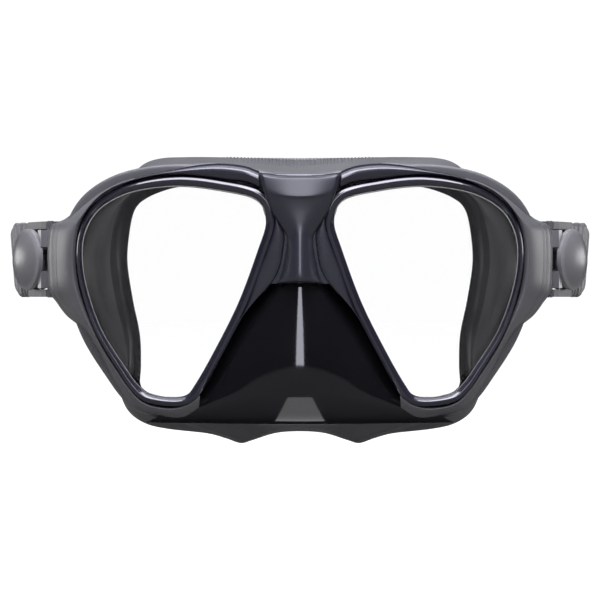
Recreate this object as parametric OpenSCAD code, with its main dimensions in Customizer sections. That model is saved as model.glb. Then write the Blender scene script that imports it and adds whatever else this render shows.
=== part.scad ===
// Two-lens diving mask with a silicone skirt, a nose pocket and a strap that
// threads round a roller in each side buckle.
// +X is to the wearer's left as seen from the front, +Y points at the face, +Z is up.
// The origin is the middle of the face opening, where the brow meets the seal.

/* [Front] */
// Front of the bridge to the forehead seal
mask_depth = 60; // [50:1:72]
// Angle by which each lens sweeps back from the middle
lens_sweep = 8; // [4:1:10]
// Angle by which the foot of the front leans towards the face
front_rake = 6; // [2:1:8]
// Width of the clear opening of one lens
lens_w = 57; // [47:0.5:69]
// Height of the clear opening of one lens
lens_h = 64.3; // [53:0.5:78]
// Smallest distance between the two clear openings
nose_gap = 20.8; // [18:0.2:26]
// Thickness of the tempered glass
lens_t = 3.8; // [3:0.1:5]
// How far the glass reaches under its rim
lens_lip = 0.8; // [0.6:0.1:1]
// Thickness of the lens rim, front to back
bezel_t = 3.5; // [2.5:0.1:5]
// How far the bridge cover stands proud of the frame
cover_t = 1.6; // [1:0.1:3]
// Diameter of the bridge cover's pegs
peg_d = 3; // [2:0.1:4]

/* [Skirt] */
// Wall of the silicone skirt
skirt_wall = 2; // [1.5:0.1:3]
// Width of the seal lip that turns in against the face
seal_lip = 6; // [4:0.5:8]
// How much further back the seal lies at the temples than at the forehead
temple_wrap = 10; // [4:1:14]
// How much further forward the seal lies on the upper lip
lip_set = 8; // [4:1:12]

/* [Buckle] */
// Diameter of the domed release button
button_d = 19.5; // [16:0.5:22]
// Height of the button's dome
dome_h = 3.2; // [2:0.1:5]
// Outer diameter of the strap roller
roller_d = 6; // [5:0.1:8]
// Diameter of the steel roller and button pins
pin_d = 2; // [1.6:0.1:2.6]
// Diameter of the swivel pin
swivel_d = 4; // [3:0.1:5]
// Thickness of the buckle's cheeks
cheek_t = 2.4; // [1.8:0.1:3.2]
// Height of the buckle's centre above the middle of the mask
buckle_z = 13; // [10:0.5:16]
// Angle between the buckle's outward normal and the side direction
buckle_toe = 30; // [20:1:36]
// Running clearance, all round, of what turns on a pin
run_gap = 0.05; // [0.03:0.01:0.08]
// Gap between neighbours that move past each other
side_gap = 0.35; // [0.3:0.05:0.6]

/* [Strap] */
// Width of the strap where it threads through the buckle
strap_w = 18; // [14:0.5:22]
// Thickness of the strap
strap_t = 2.2; // [1.6:0.1:2.6]
// Width of the split pad behind the head
pad_w = 30; // [24:1:40]
// Width of the slot in the split pad
pad_slot = 8; // [4:1:14]
// Distance from the origin to the back of the strap loop
loop_back = 112; // [95:1:130]
// Height of the strap above the middle of the mask behind the head
loop_rise = 47; // [35:1:60]

/* [Hidden] */
$fn = 32;

// The outlines below are drawn for this reference lens and stretch with the real one.
REF_W = 57;
REF_H = 64.3;
REF_GAP = 20.8;
REACH = mask_depth + 50;    // half-length of the prisms that outlines are cut from

// A point of a reference outline, stretched to the chosen lens and nose gap
function stretch_x(x) = x <= REF_GAP / 2 ? x * nose_gap / REF_GAP
    : nose_gap / 2 + (x - REF_GAP / 2) * lens_w / REF_W;
function stretch_z(z) = z * lens_h / REF_H;
function stretched(pts) = [for (p = pts) concat([stretch_x(p[0]), stretch_z(p[1])],
    len(p) > 2 ? [p[2]] : [])];

// Closed Catmull-Rom curve through pts, n points to each span
function curve_at(a, b, c, d, t) = 0.5 * ((2 * b) + (c - a) * t
    + (2 * a - 5 * b + 4 * c - d) * t * t + (3 * b - a - 3 * c + d) * t * t * t);
function closed_curve(pts, n) = let (k = len(pts)) [for (i = [0:k - 1], j = [0:n - 1])
    curve_at(pts[(i + k - 1) % k], pts[i], pts[(i + 1) % k], pts[(i + 2) % k], j / n)];
function open_curve(pts, n, before) = let (k = len(pts),
    q = concat([is_undef(before) ? 2 * pts[0] - pts[1] : before], pts,
    [2 * pts[k - 1] - pts[k - 2]])) concat([for (i = [0:k - 2], j = [0:n - 1])
    curve_at(q[i], q[i + 1], q[i + 2], q[i + 3], j / n)], [pts[k - 1]]);

// A half outline from its top middle to its bottom middle, and its mirror image
function both_halves(half) = concat(half,
    [for (i = [len(half) - 2:-1:1]) [-half[i][0], half[i][1]]]);
function flat(pts) = [for (p = pts) [p[0], p[1]]];
function unit(v) = v / norm(v);

// A clockwise outline moved outwards by d, plus the third number of each point times k
function grown(pts, d, k = 0) = let (m = len(pts)) [for (i = [0:m - 1])
    let (a = pts[(i + m - 1) % m], b = pts[(i + 1) % m], t = unit([b[0] - a[0], b[1] - a[1]]),
         w = d + (k == 0 ? 0 : k * pts[i][2]))
    [pts[i][0] - t[1] * w, pts[i][1] + t[0] * w]];

// Clear opening of the right-hand lens: x, z and the width of the rim beside that point
LENS = stretched([[10.5, 24.2, 3.0], [13.3, 30.6, 3.2], [24, 33.5, 3.2], [38, 35, 3.2],
    [52, 33.2, 2.8], [61.5, 28.4, 2.3], [66.2, 21.5, 2.0], [67.4, 13.5, 2.0], [66, 3.5, 2.0],
    [61.5, -9.3, 2.2], [53.6, -21.2, 2.6], [47.6, -27.4, 3.0], [40, -29.3, 3.3],
    [33.6, -26.6, 3.2], [27.3, -16.6, 3.0], [19.4, -1.2, 3.0], [13.3, 15, 3.0]]);
opening = closed_curve(LENS, 4);
rim = grown(opening, 0, 1);
glass_edge = grown(opening, lens_lip);

// Front surface: a V swept back by lens_sweep with a parabola of width 2 * BEND between
BEND = 9;
slope = tan(lens_sweep);
lean = tan(front_rake);
function sweep_y(x) = -mask_depth + (abs(x) < BEND ? slope * x * x / (2 * BEND)
    : slope * (abs(x) - BEND / 2));
function front_y(x, z) = sweep_y(x) - lean * z;

// Layers of the front, measured back from the front surface
glass_front = bezel_t;
glass_back = glass_front + lens_t;
frame_back = glass_back + skirt_wall;
half_w = stretch_x(67.4);

// The layer between two depths behind the front surface
module layer(from, to) {
    xs = concat([-half_w - 30], [for (i = [-6:6]) i * BEND / 6], [half_w + 30]);
    translate([0, -mask_depth, 0]) rotate([front_rake, 0, 0]) translate([0, mask_depth, -REACH])
        linear_extrude(2 * REACH) polygon(concat([for (x = xs) [x, sweep_y(x) + from]],
            [for (i = [len(xs) - 1:-1:0]) [xs[i], sweep_y(xs[i]) + to]]));
}
// What lies behind an x-z outline, cut to one layer of the front
module plate(from, to) {
    intersection() {
        rotate([90, 0, 0]) linear_extrude(2 * REACH, center = true) children();
        layer(from, to);
    }
}
module right_half(side) { mirror([side < 0 ? 1 : 0, 0, 0]) children(); }
module both() { children(); mirror([1, 0, 0]) children(); }

// ---- Front frame, rims and glass ------------------------------------------------------
// Brow band and bridge web of the frame, right half
BROW = stretched([[0, 38.1], [11.6, 39.7], [15.3, 40.9], [26, 42], [33.5, 41.2], [42.7, 39],
    [52, 36.3], [59, 33], [64, 29], [67, 25.5], [60, 22], [40, 28], [20, 24], [14, 26], [24, -6],
    [27, -17], [20.7, -9], [15.9, -2], [9.2, 4], [0, 5.5]]);
// Bridge cover, right half
COVER = stretched([[0, 37.4], [7, 37.2], [13, 36.9], [11.6, 32.9], [9.8, 29], [7.6, 25],
    [6.1, 22.6], [4.4, 20.6], [4.1, 18.3], [4.6, 15.3], [5.4, 10.7], [6.4, 6.8], [0, 6.4]]);
peg_zs = [stretch_z(31), stretch_z(11)];
PEG_LENGTH = 2.4;
seam = 0.1;             // gap between front pieces that are glued or snapped together

module cover_pegs(d, length) {
    for (z = peg_zs) translate([0, front_y(0, z) - 0.2, z]) rotate([-90 + front_rake, 0, 0])
        cylinder(d = d, h = length);
}
module main_frame() color([0.16, 0.16, 0.19]) difference() {
    union() {
        plate(glass_front + seam, frame_back) union() {
            polygon(flat(rim));
            mirror([1, 0]) polygon(flat(rim));
            polygon(BROW);
            mirror([1, 0]) polygon(BROW);
        }
        plate(0, glass_front + seam) difference() {
            union() {
                polygon(BROW);
                mirror([1, 0]) polygon(BROW);
            }
            polygon(grown(rim, seam));
            mirror([1, 0]) polygon(grown(rim, seam));
        }
    }
    both() plate(glass_front - 1, frame_back + 1) polygon(grown(glass_edge, seam));
    cover_pegs(peg_d + 2 * run_gap, PEG_LENGTH + 0.6);
}
module bridge_cover() color([0.13, 0.13, 0.15]) union() {
    plate(-cover_t, 0) union() {
        polygon(COVER);
        mirror([1, 0]) polygon(COVER);
    }
    cover_pegs(peg_d, PEG_LENGTH);
}
module bezel(side) color([0.2, 0.2, 0.23]) right_half(side)
    plate(0, glass_front) difference() {
        polygon(flat(rim));
        polygon(flat(opening));
    }
module lens(side) color([0.8, 0.87, 0.9, 0.35]) right_half(side)
    plate(glass_front, glass_back) polygon(glass_edge);

// ---- Skirt ----------------------------------------------------------------------------
// Half outlines of the skirt: where it leaves the frame, half-way back, and at the seal
FRONT_HALF = stretched([[0, 37.3], [13, 39], [26, 40.5], [38, 39], [52, 35], [61.5, 30], [67, 24],
    [69.4, 14.5], [68.8, 3], [65.6, -9], [60.5, -19], [56.5, -26], [51.5, -32.5], [44, -36],
    [30, -37.5], [16, -38.5], [0, -38]]);
MIDDLE_HALF = stretched([[0, 43.5], [13, 43.8], [28, 43.8], [42, 43], [53, 38.5], [60, 32],
    [64.5, 24], [66, 14], [65, 1], [62, -12], [58.5, -22], [55.5, -30], [53, -36.5],
    [45.5, -39.5], [30, -41.5], [17, -43.5], [0, -40]]);
SEAL_HALF = stretched([[0, 42.5], [13, 43.5], [28, 43.5], [41, 42], [51, 37.5], [58, 30.5],
    [62, 23], [63, 13], [61.5, 0], [59.5, -12], [57, -22], [55, -30], [52.5, -36.5],
    [45.5, -40], [30, -42], [18, -45], [0, -40]]);
SPAN = 3;               // curve points between two outline points

function outline(half) = closed_curve(both_halves(half), SPAN);
// The seal follows the face: back at the temples, forward on the upper lip
function seal_y(x, z) = temple_wrap * pow(x / half_w, 2) - lip_set * pow(max(0, -z) / stretch_z(42), 2);
function at_front(pts, depth) = [for (p = pts) [p[0], front_y(p[0], p[1]) + depth, p[1]]];
function at_seal(pts, depth) = [for (p = pts) [p[0], seal_y(p[0], p[1]) + depth, p[1]]];
function between(a, b, t, pts) = [for (i = [0:len(pts) - 1])
    [pts[i][0], a[i][1] * (1 - t) + b[i][1] * t, pts[i][1]]];

// Solid through a list of loops with equal numbers of points, closed by a fan at each end;
// start moves the centre of the first fan
module loft(loops, start) {
    n = len(loops[0]);
    m = len(loops);
    function middle(l) = [for (k = [0:2]) ([for (p = l) p[k]] * [for (p = l) 1]) / n];
    points = concat([for (l = loops) each l],
        [is_undef(start) ? middle(loops[0]) : start, middle(loops[m - 1])]);
    polyhedron(points, concat(
        [for (i = [0:m - 2], j = [0:n - 1]) let (k = (j + 1) % n)
            each [[i * n + j, (i + 1) * n + j, i * n + k],
                [i * n + k, (i + 1) * n + j, (i + 1) * n + k]]],
        [for (j = [0:n - 1]) [m * n, j, (j + 1) % n]],
        [for (j = [0:n - 1]) [m * n + 1, (m - 1) * n + (j + 1) % n, (m - 1) * n + j]]));
}

// Nose pocket: height, half-width and how far its nose stands in front of POCKET_BACK
POCKET_BACK = 22 - mask_depth;
POCKET = [[4.6, 7.5, 20.5], [1, 11, 23], [-5, 15.5, 25.5], [-12, 19.5, 27.3], [-20, 23.5, 28.2],
    [-28, 25, 27.2], [-34, 25, 23.5], [-38, 23, 17.5], [-40, 19, 11]];
POCKET_SIDES = 36;
function pocket(inset) = [for (s = POCKET)
    [for (i = [0:POCKET_SIDES - 1]) let (a = -360 * i / POCKET_SIDES)
        [(stretch_x(s[1]) - inset) * cos(a), POCKET_BACK + (s[2] - inset) * sin(a),
         stretch_z(s[0]) - (s[0] > 0 ? inset : s[0] < -36 ? -inset : 0)]]];

// Ear: from beside the rim, out and back to the buckle; corners in plan, then from the front
swivel_x = half_w + 6.6;
swivel_y = -mask_depth + 34;
EAR_PLAN = [[-2.5, -13], [1.5, -22.6], [4.6, -21.2], [13.3, -11], [13.1, -8], [9.4, -8],
    [6, -9.5], [0.5, -8.5], [-4, -2.5]];
EAR_FRONT = [[-4, 13.8], [3.2, 12], [8, 11.3], [11.5, 10.8], [13.4, 9.5], [13.4, -9.5],
    [11.5, -11.3], [8, -14.2], [3.2, -18], [-1.5, -23], [-6, -27], [-9, -20]];
// Collar of silicone that stands up round the outside of each rim
COLLAR_TOP = 1.5;       // how far behind the front surface it ends
COLLAR_FROM = 38;       // nearest to the middle
module collar() {
    plate(COLLAR_TOP, frame_back + 0.6) intersection() {
        polygon(grown(outline(FRONT_HALF), -2 * seam));
        translate([stretch_x(COLLAR_FROM), -REACH]) square([REACH, REACH + stretch_z(27)]);
    }
}
module ear() {
    intersection() {
        translate([half_w, swivel_y, -REACH]) linear_extrude(2 * REACH) polygon(EAR_PLAN);
        translate([half_w, 0, buckle_z]) rotate([90, 0, 0])
            linear_extrude(2 * REACH, center = true) polygon(EAR_FRONT);
    }
}
module skirt() color([0.2, 0.2, 0.21]) {
    front = outline(FRONT_HALF);
    middle = outline(MIDDLE_HALF);
    seal = outline(SEAL_HALF);
    near = at_front(front, frame_back + 0.1);
    far = at_seal(seal, 0);
    mouth = grown(seal, -seal_lip);
    inner = at_front(grown(front, -skirt_wall), frame_back + 0.1 + skirt_wall);
    // a resize to the same size keeps this as one mesh
    resize([0, 0, 0]) union() {
        difference() {
            union() {
                loft([near, between(near, far, 0.45, middle), between(near, far, 0.8, middle), far],
                    [0, sweep_y(0) + frame_back + 0.1, 0]);
                loft(pocket(0));
                both() ear();
                both() collar();
            }
            loft([inner, between(near, far, 0.45, grown(middle, -skirt_wall)),
                between(near, far, 0.8, grown(middle, -skirt_wall - 1)),
                at_seal(grown(seal, -skirt_wall - 2), -skirt_wall * 1.5), at_seal(mouth, -1),
                at_seal(mouth, 2)], [0, sweep_y(0) + frame_back + 0.1 + skirt_wall, 0]);
            loft(pocket(skirt_wall));
            both() plate(frame_back - 1, frame_back + 8) polygon(grown(opening, -0.6));
            both() ear_socket();
            both() plate(-2, frame_back + 0.05) union() {
                polygon(grown(rim, seam));
                offset(delta = seam) polygon(BROW);
            }
        }
        both() plate(glass_back, frame_back + 0.6) difference() {
            polygon(grown(glass_edge, -0.1));
            polygon(grown(opening, -0.6));
        }
    }
}

// ---- Ear inserts and swivel pins ------------------------------------------------------
// Hard plate moulded into the inside of each ear; the swivel pin stands out of it
INSERT_T = 2.4;
INSERT_R = 8;
INSERT_TONGUE = 16;     // from the pin into the ear
insert_x = swivel_x - 3.4;
module insert_shape(extra) {
    translate([insert_x - extra, swivel_y, buckle_z]) {
        rotate([0, 90, 0]) cylinder(r = INSERT_R + extra, h = INSERT_T + 2 * extra);
        translate([0, -INSERT_TONGUE - extra, -5 - extra])
            cube([INSERT_T + 2 * extra, INSERT_TONGUE + extra, 10 + 2 * extra]);
    }
}
module ear_socket() { insert_shape(0.15); }
LUG_T = 2.2;            // buckle's lug on the swivel pin
LUG_R = 6;
HEAD_T = 1.1;           // heads at both ends of the swivel pin
HEAD_R = 3.3;
lug_x = insert_x + INSERT_T + side_gap;
outer_head_x = lug_x + LUG_T + side_gap;

module along_x(x, r, h) {
    translate([x, swivel_y, buckle_z]) rotate([0, 90, 0]) cylinder(r = r, h = h);
}
module ear_insert(side) color([0.1, 0.1, 0.11]) right_half(side) difference() {
    insert_shape(0);
    along_x(insert_x - 1, swivel_d / 2, INSERT_T + 2);
}
module swivel_pin(side) color([0.7, 0.71, 0.73]) right_half(side) union() {
    along_x(insert_x - HEAD_T, HEAD_R, HEAD_T);
    along_x(insert_x - 0.2, swivel_d / 2, outer_head_x - insert_x + 0.4);
    along_x(outer_head_x, HEAD_R, HEAD_T);
}

// ---- Buckle ---------------------------------------------------------------------------
// In the buckle's own frame the roller is at the origin, +X is outwards from the head,
// +Y runs back along the strap and +Z is up
roller_x = half_w + 12.5;
roller_y = swivel_y + 8.5;
wrap_r = roller_d / 2 + side_gap + strap_t / 2;     // middle of the strap round the roller
cheek_in = strap_w / 2 + 0.6;
cheek_out = cheek_in + cheek_t;
BASE_T = 2;
base_x = -wrap_r - strap_t / 2 - 0.7;
BUTTON_PIN = [3.7, -wrap_r - strap_t / 2 - 1.75];
BARREL_R = 2;
SPRING_ROOM = 3.8;      // half the gap between the button's two barrels
button_x = wrap_r + strap_t / 2 + 1.9;
BUTTON_RIM = 1.4;

module at_buckle(side) {
    right_half(side) translate([roller_x, roller_y, buckle_z]) rotate([0, 0, -buckle_toe])
        children();
}
module rod(at, r, half) {
    translate([at[0], at[1], -half]) cylinder(r = r, h = 2 * half);
}
module buckle_frame(side) color([0.12, 0.12, 0.13]) difference() {
    union() {
        at_buckle(side) {
            for (z = [-cheek_out, cheek_in]) translate([0, 0, z]) linear_extrude(cheek_t)
                polygon([[base_x - BASE_T, -9], [-4, -10.8], [3.5, -10.3], [6, -8.8],
                    [6.4, -6], [5.8, 5], [3.5, 9.2], [base_x - BASE_T, 9.2]]);
            translate([base_x - BASE_T, -9, -cheek_out])
                cube([BASE_T, 17, 2 * cheek_out]);
            translate([base_x - BASE_T, -9, -cheek_out]) cube([-base_x, 2.4, 2 * cheek_out]);
        }
        right_half(side) along_x(lug_x, LUG_R, LUG_T);
    }
    at_buckle(side) {
        rod([0, 0], pin_d / 2, cheek_out + 1);
        rod([0, 0], wrap_r + strap_t / 2 + side_gap, strap_w / 2);
        rod(BUTTON_PIN, pin_d / 2, cheek_out + 1);
    }
    right_half(side) along_x(lug_x - 1, swivel_d / 2 + run_gap, LUG_T + 2);
    right_half(side) along_x(lug_x + LUG_T, HEAD_R + side_gap, HEAD_T + 2 * side_gap);
    right_half(side) along_x(insert_x - 3, INSERT_R + 6, lug_x - insert_x + 3);
}
module roller(side) color([0.25, 0.25, 0.26]) at_buckle(side) difference() {
    rod([0, 0], roller_d / 2, cheek_in - side_gap);
    rod([0, 0], pin_d / 2 + run_gap, cheek_in + 1);
}
module roller_pin(side) color([0.75, 0.76, 0.78]) at_buckle(side)
    rod([0, 0], pin_d / 2, cheek_out + 0.2);
module button_pin(side) color([0.75, 0.76, 0.78]) at_buckle(side)
    rod(BUTTON_PIN, pin_d / 2, cheek_out + 0.2);

// Domed button on two barrels, with a pawl that grips the strap
module release_button(side) color([0.15, 0.15, 0.17]) at_buckle(side) difference() {
    union() {
        translate([button_x, 0, 0]) rotate([0, 90, 0]) rotate_extrude() {
            square([button_d / 2, BUTTON_RIM]);
            translate([0, BUTTON_RIM]) intersection() {
                translate([0, dome_h - dome_r]) circle(r = dome_r, $fn = 96);
                square([button_d / 2, dome_h]);
            }
        }
        for (z = [SPRING_ROOM, -cheek_in + side_gap]) translate([0, 0, z]) {
            translate(BUTTON_PIN) cylinder(r = BARREL_R, h = cheek_in - side_gap - SPRING_ROOM);
            translate([BUTTON_PIN[0], BUTTON_PIN[1] - BARREL_R, 0])
                cube([button_x - BUTTON_PIN[0] + 0.5, 2.4, cheek_in - side_gap - SPRING_ROOM]);
            translate([0.9, BUTTON_PIN[1] - 0.6, 0])
                cube([BUTTON_PIN[0] - 0.9, 1.2, cheek_in - side_gap - SPRING_ROOM]);
        }
    }
    rod(BUTTON_PIN, pin_d / 2 + run_gap, cheek_in + 1);
}
dome_r = (button_d * button_d / 4 + dome_h * dome_h) / (2 * dome_h);

// Close-wound torsion spring round the button pin, drawn as the sleeve that its coils fill,
// with one leg to the button and one to the frame
WIRE = 0.7;
SPRING_HALF = 3;
module button_spring(side) color([0.7, 0.7, 0.72]) at_buckle(side)
    translate(BUTTON_PIN) union() {
        rotate_extrude() translate([pin_d / 2 + run_gap + 0.1, -SPRING_HALF])
            square([WIRE, 2 * SPRING_HALF]);
        for (i = [-1, 1]) translate([0, pin_d / 2 + WIRE / 2 + 0.15, i * (SPRING_HALF - WIRE)])
            rotate([0, i * 90, 0]) cylinder(d = WIRE * 0.7, h = 3.1);
    }

// ---- Strap ----------------------------------------------------------------------------
// Right half of the strap's middle line, from behind the head to the buckle: shares of the
// roller's distance out, of the way forward to the buckle and of the rise, lean, width
LOOP = [[0, 1, 1, 77, 1], [0.375, 0.958, 0.99, 77, 0.93], [0.70, 0.834, 0.92, 77, 0.5],
    [0.90, 0.651, 0.56, 68, 0.12], [1.0, 0.435, 0.28, 42, 0], [1.039, 0.236, 0.115, 18, 0],
    [1.03, 0.095, 0.02, 4, 0]];
TAIL = [[0, 9.5], [0.2, 16], [-1, 23.5]];   // the free end, from the roller's outer side
TAB_W = 6;              // how much wider the pull tab at the free end is
function from_buckle(n, t) = [roller_x + n * cos(buckle_toe) + t * sin(buckle_toe),
    roller_y - n * sin(buckle_toe) + t * cos(buckle_toe), buckle_z];
loop_front = from_buckle(-wrap_r, 8)[1];
loop_pts = concat([for (p = LOOP) [p[0] * roller_x,
    loop_front + p[1] * (loop_back - loop_front), buckle_z + p[2] * (loop_rise - buckle_z),
    p[3], strap_w + p[4] * (pad_w - strap_w)]],
    [concat(from_buckle(-wrap_r, 8), [0, strap_w])]);
function loop_points() = open_curve(loop_pts, 5,
    [for (k = [0:4]) k == 0 ? -loop_pts[1][0] : loop_pts[1][k]]);
function wrap_points() = [for (a = [180:20:360]) concat(
    from_buckle(wrap_r * cos(a), wrap_r * sin(a)), [0, strap_w])];
function tail_points() = open_curve([for (i = [0:2]) concat(
    from_buckle(wrap_r + TAIL[i][0], TAIL[i][1]), [0, strap_w + (i == 0 ? 0 : TAB_W)])], 4);
strap_path = concat(loop_points(), wrap_points(), tail_points());

// Ring of the band at point i of a path: d wide around the middle line at offset w
function band_ring(path, i, width, thick) = let (m = len(path),
    a = path[max(i - 1, 0)], b = path[min(i + 1, m - 1)], p = path[i],
    along = i == 0 ? [1, 0, 0] : unit([b[0] - a[0], b[1] - a[1], b[2] - a[2]]),
    side = unit([along[1], -along[0], 0]),
    w = unit(side * sin(p[3]) + cross(along, side) * -cos(p[3])),
    n = unit(cross(along, w)), c = [p[0], p[1], p[2]])
    [for (q = [[-1, -1], [1, -1], [1, 1], [-1, 1]]) c + w * q[0] * width / 2 + n * q[1] * thick / 2];
function mirrored(ring) = [for (p = ring) [-p[0], p[1], p[2]]];
module band(path, widths, thick) {
    right = [for (i = [0:len(path) - 1]) band_ring(path, i, widths[i], thick)];
    loft(concat([for (i = [len(path) - 1:-1:1]) mirrored(right[i])], right));
}
SLOT_POINTS = 9;        // how far the slot runs to each side, in points of the path
module head_strap() color([0.14, 0.14, 0.15]) resize([0, 0, 0]) difference() {
    band(strap_path, [for (p = strap_path) p[4]], strap_t);
    band([for (i = [0:SLOT_POINTS]) strap_path[i]],
        [for (i = [0:SLOT_POINTS]) pad_slot * sqrt(max(0.04, 1 - pow(i / SLOT_POINTS, 4)))],
        strap_t + 2);
}

main_frame();
bridge_cover();
bezel(-1);  // left_bezel
bezel(1);  // right_bezel
lens(-1);  // left_lens
lens(1);  // right_lens
skirt();
ear_insert(-1);  // left_ear_insert
ear_insert(1);  // right_ear_insert
swivel_pin(-1);  // left_swivel_pin
swivel_pin(1);  // right_swivel_pin
buckle_frame(-1);  // left_buckle_frame
buckle_frame(1);  // right_buckle_frame
release_button(-1);  // left_release_button
release_button(1);  // right_release_button
roller(-1);  // left_roller
roller(1);  // right_roller
roller_pin(-1);  // left_roller_pin
roller_pin(1);  // right_roller_pin
button_pin(-1);  // left_button_pin
button_pin(1);  // right_button_pin
button_spring(-1);  // left_button_spring
button_spring(1);  // right_button_spring
head_strap();
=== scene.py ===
"""Two-lens diving mask: glossy front frame, silicone skirt with ears, side buckles and strap."""

import bpy
import numpy as np
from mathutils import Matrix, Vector


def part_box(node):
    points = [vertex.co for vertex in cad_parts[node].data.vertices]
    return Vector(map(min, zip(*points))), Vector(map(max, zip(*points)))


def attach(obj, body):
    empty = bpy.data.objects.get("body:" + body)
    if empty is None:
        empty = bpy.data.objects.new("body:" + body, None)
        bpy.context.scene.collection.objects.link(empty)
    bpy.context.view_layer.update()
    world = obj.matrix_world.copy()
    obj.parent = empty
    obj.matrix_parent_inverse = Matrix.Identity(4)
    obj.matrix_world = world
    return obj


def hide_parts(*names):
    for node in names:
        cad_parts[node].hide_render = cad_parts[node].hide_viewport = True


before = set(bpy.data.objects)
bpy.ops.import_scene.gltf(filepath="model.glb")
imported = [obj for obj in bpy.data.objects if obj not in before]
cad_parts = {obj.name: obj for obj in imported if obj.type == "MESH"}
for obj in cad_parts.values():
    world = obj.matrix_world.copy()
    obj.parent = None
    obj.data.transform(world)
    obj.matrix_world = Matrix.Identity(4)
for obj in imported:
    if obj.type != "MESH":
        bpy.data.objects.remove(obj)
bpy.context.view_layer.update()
scene = bpy.context.scene

# ---- Camera, floor and light -------------------------------------------------------------
# A long lens straight in front of the mask, a pale floor and a white surround. The strip, brow
# and top boxes draw the highlights on the glossy front and the fills light the matt silicone.
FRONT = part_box("bridge_cover")[0].y
CAMERA_DISTANCE = 0.90
PICTURE_WIDTH = 0.183                        # what the picture spans at the front of the frame

camera = bpy.data.objects.new("camera", bpy.data.cameras.new("camera"))
camera.data.sensor_width = 36
camera.data.lens = 36 * CAMERA_DISTANCE / PICTURE_WIDTH
camera.location = (0.0, FRONT - CAMERA_DISTANCE, 0.0)
camera.rotation_euler = (np.pi / 2, 0, 0)
scene.collection.objects.link(camera)
scene.camera = camera
scene.view_settings.view_transform = "Standard"


def glow(tree, place, dim, bright, matt=0.0):
    """A strength for a white backdrop: bright to the camera and, behind the mask, through the
    glass, and dim as a light so that black stays black. matt is the share matt faces see."""
    new, link = tree.nodes.new, tree.links.new
    ray, split = new("ShaderNodeLightPath"), new("ShaderNodeSeparateXYZ")
    behind, through, other, seen = (new("ShaderNodeMath") for _ in range(4))
    behind.operation, behind.inputs[1].default_value = "GREATER_THAN", 0.0
    through.operation, seen.operation = "MULTIPLY", "MAXIMUM"
    other.operation, other.inputs[1].default_value = "MULTIPLY_ADD", matt
    strength = new("ShaderNodeMapRange")
    strength.inputs["To Min"].default_value, strength.inputs["To Max"].default_value = dim, bright
    link(place, split.inputs["Vector"])
    link(split.outputs["Y"], behind.inputs[0])
    link(ray.outputs["Is Transmission Ray"], through.inputs[0])
    link(behind.outputs["Value"], through.inputs[1])
    link(ray.outputs["Is Diffuse Ray"], other.inputs[0])
    link(through.outputs["Value"], other.inputs[2])
    link(ray.outputs["Is Camera Ray"], seen.inputs[0])
    link(other.outputs["Value"], seen.inputs[1])
    link(seen.outputs["Value"], strength.inputs["Value"])
    return strength.outputs["Result"]


world = bpy.data.worlds.new("white surround")
world.use_nodes = True
backing = world.node_tree.nodes["Background"]
backing.inputs["Color"].default_value = (1, 1, 1, 1)
direction = world.node_tree.nodes.new("ShaderNodeTexCoord")
world.node_tree.links.new(glow(world.node_tree, direction.outputs["Generated"], 0.03, 1.05),
                          backing.inputs["Strength"])
scene.world = world


def soft_box(name, place, aim, width, height, watts, tint=(1, 1, 1), mirrored_in_gloss=True):
    """A rectangular area light at place, turned so that it shines at aim, hidden from the camera
    and behind the glass. One that is not mirrored in gloss lights matt surfaces only."""
    data = bpy.data.lights.new(name, "AREA")
    data.shape, data.size, data.size_y = "RECTANGLE", width, height
    data.energy, data.color = watts, tint
    light = bpy.data.objects.new(name, data)
    light.location = place
    light.rotation_euler = (Vector(aim) - Vector(place)).to_track_quat("-Z", "Y").to_euler()
    light.visible_glossy = mirrored_in_gloss
    light.visible_camera = light.visible_transmission = False
    scene.collection.objects.link(light)


soft_box("strip box", (0.0, -1.06, 0.37), (0, 0, 0), 0.26, 1.2, 9.0, (0.86, 0.86, 1.0))
soft_box("brow box", (0.0, -0.62, 0.80), (0, 0, 0), 1.1, 0.36, 16.0, (0.88, 0.88, 1.0))
soft_box("top box", (0.0, -0.1, 0.9), (0, 0, 0), 1.4, 0.6, 9, (0.88, 0.88, 1.0))
soft_box("top fill", (0.0, -0.1, 0.8), (0, 0, 0), 1.0, 0.5, 30, mirrored_in_gloss=False)
soft_box("left fill", (-1.1, -0.25, 0.1), (0, 0, 0), 0.8, 0.9, 7, mirrored_in_gloss=False)
soft_box("right fill", (1.1, -0.25, 0.1), (0, 0, 0), 0.8, 0.9, 7, mirrored_in_gloss=False)
soft_box("left box", (-1.05, 0.42, -0.12), (0, 0, 0), 0.75, 0.7, 8)
soft_box("right box", (1.05, 0.42, -0.12), (0, 0, 0), 0.75, 0.7, 8)

FLOOR_Z = -0.055
FLOOR_SIZE = 12.0
floor_mesh = bpy.data.meshes.new("floor")
side = FLOOR_SIZE / 2
floor_mesh.from_pydata([(-side, -side, FLOOR_Z), (side, -side, FLOOR_Z), (side, side, FLOOR_Z),
                        (-side, side, FLOOR_Z)], [], [(0, 1, 2, 3)])
floor = bpy.data.objects.new("floor", floor_mesh)
floor_paint = bpy.data.materials.new("floor paint")
floor_paint.use_nodes = True
floor_shader = floor_paint.node_tree.nodes["Principled BSDF"]
floor_shader.inputs["Base Color"].default_value = (0.06, 0.06, 0.06, 1)
floor_shader.inputs["Roughness"].default_value = 0.9
floor_shader.inputs["Specular IOR Level"].default_value = 0.0
floor_shader.inputs["Emission Color"].default_value = (1, 1, 1, 1)
floor_place = floor_paint.node_tree.nodes.new("ShaderNodeNewGeometry")
floor_paint.node_tree.links.new(
    glow(floor_paint.node_tree, floor_place.outputs["Position"], 0.0, 1.05, matt=1.0),
    floor_shader.inputs["Emission Strength"])
floor_mesh.materials.append(floor_paint)
scene.collection.objects.link(floor)

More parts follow.
